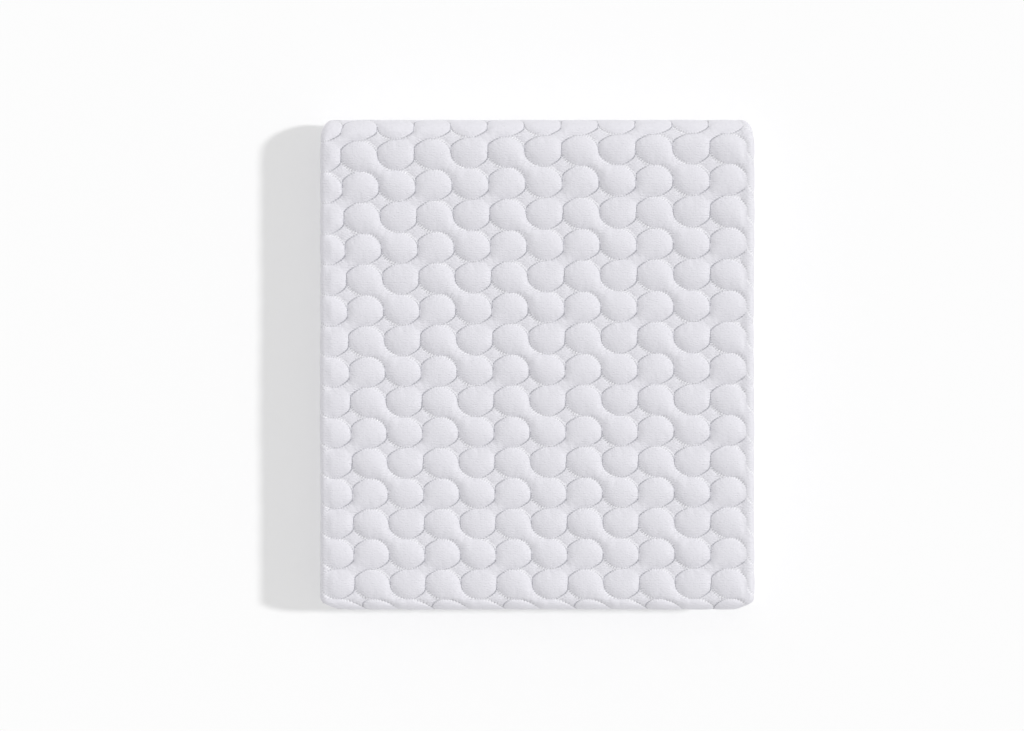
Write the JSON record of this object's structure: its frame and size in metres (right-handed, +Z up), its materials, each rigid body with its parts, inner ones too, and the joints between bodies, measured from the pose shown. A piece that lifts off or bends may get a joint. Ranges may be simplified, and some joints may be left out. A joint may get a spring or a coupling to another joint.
{
  "type": "mattress protector",
  "caption": "Quilted mattress protector folded into a flat, soft rectangular pack, with taped edges and elastic corner bands folded inside.",
  "frame": {"origin": "on the ground under the middle of the folded pack", "axes": "+X across the pack, +Y from the front fold to the big back fold, +Z up"},
  "size_m": [0.4494, 0.5108, 0.0558],
  "materials": {
    "face_knit": "fine white knit, quilted",
    "polyester_fill": "loose white fibre",
    "backing_knit": "smooth white knit",
    "binding_tape": "white woven tape",
    "woven_elastic": "ribbed white elastic"
  },
  "bodies": {
    "root": {"face_cover": "face_knit", "fibre_fill": "polyester_fill", "backing_cloth": "backing_knit", "head_binding": "binding_tape", "foot_binding": "binding_tape", "right_binding": "binding_tape", "left_binding": "binding_tape", "head_strap_right": "woven_elastic", "head_strap_left": "woven_elastic", "foot_strap_right": "woven_elastic", "foot_strap_left": "woven_elastic"}
  },
  "joints": []
}
